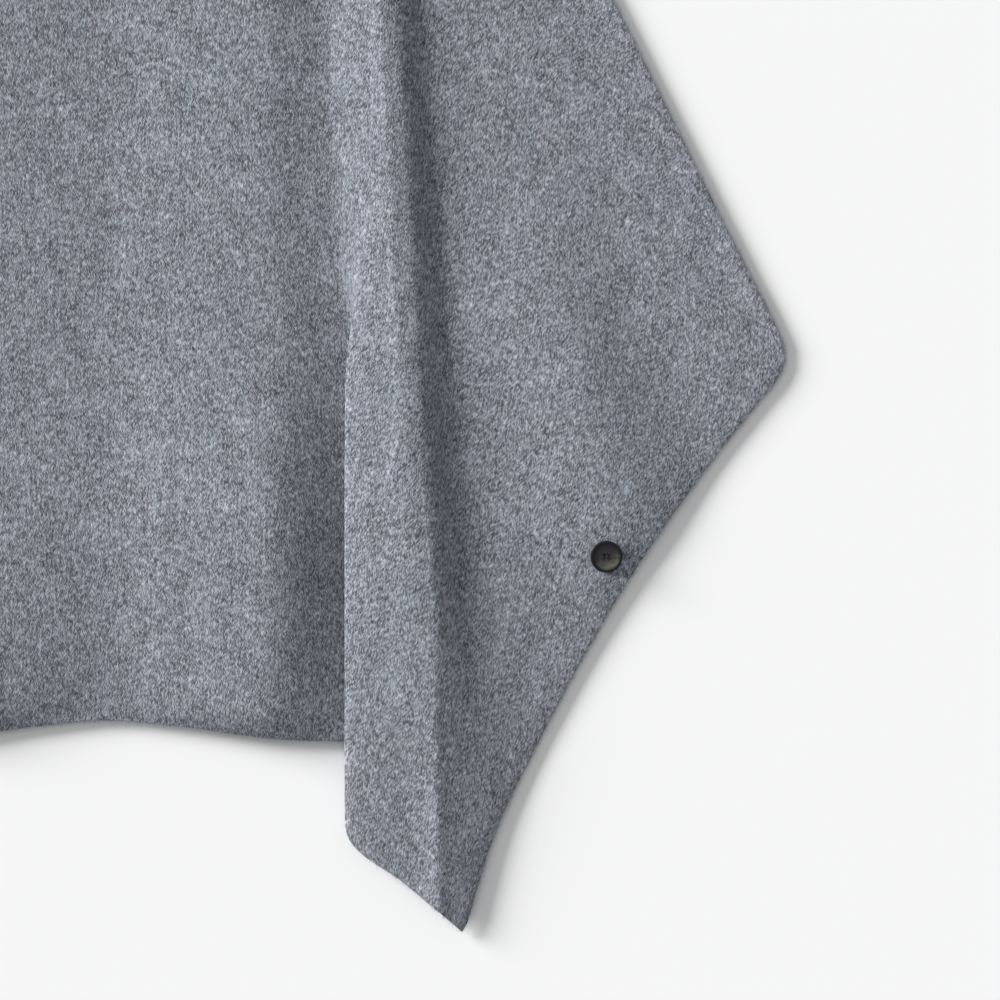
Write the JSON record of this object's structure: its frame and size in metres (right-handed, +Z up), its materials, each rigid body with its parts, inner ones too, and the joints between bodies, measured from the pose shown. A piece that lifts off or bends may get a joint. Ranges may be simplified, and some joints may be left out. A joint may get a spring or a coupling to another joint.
{
  "type": "poncho sweater",
  "caption": "Grey felted wool knit poncho laid flat, with sloping shoulders, a drape fold down each side, raw edges and a dark round button near each side edge",
  "frame": {"origin": "on the surface the garment lies on, under the middle of its outline", "axes": "+Z up off the surface, +Y from hem to neck, +X to the viewer's right with the front facing up"},
  "size_m": [0.8432, 0.874, 0.0244],
  "materials": {
    "wool": "felted melange knit, mid grey",
    "horn": "polished dark horn"
  },
  "bodies": {
    "root": {"front_panel": "wool", "back_panel": "wool", "neckband": "wool", "button_right": "horn", "button_left": "horn"}
  },
  "joints": []
}
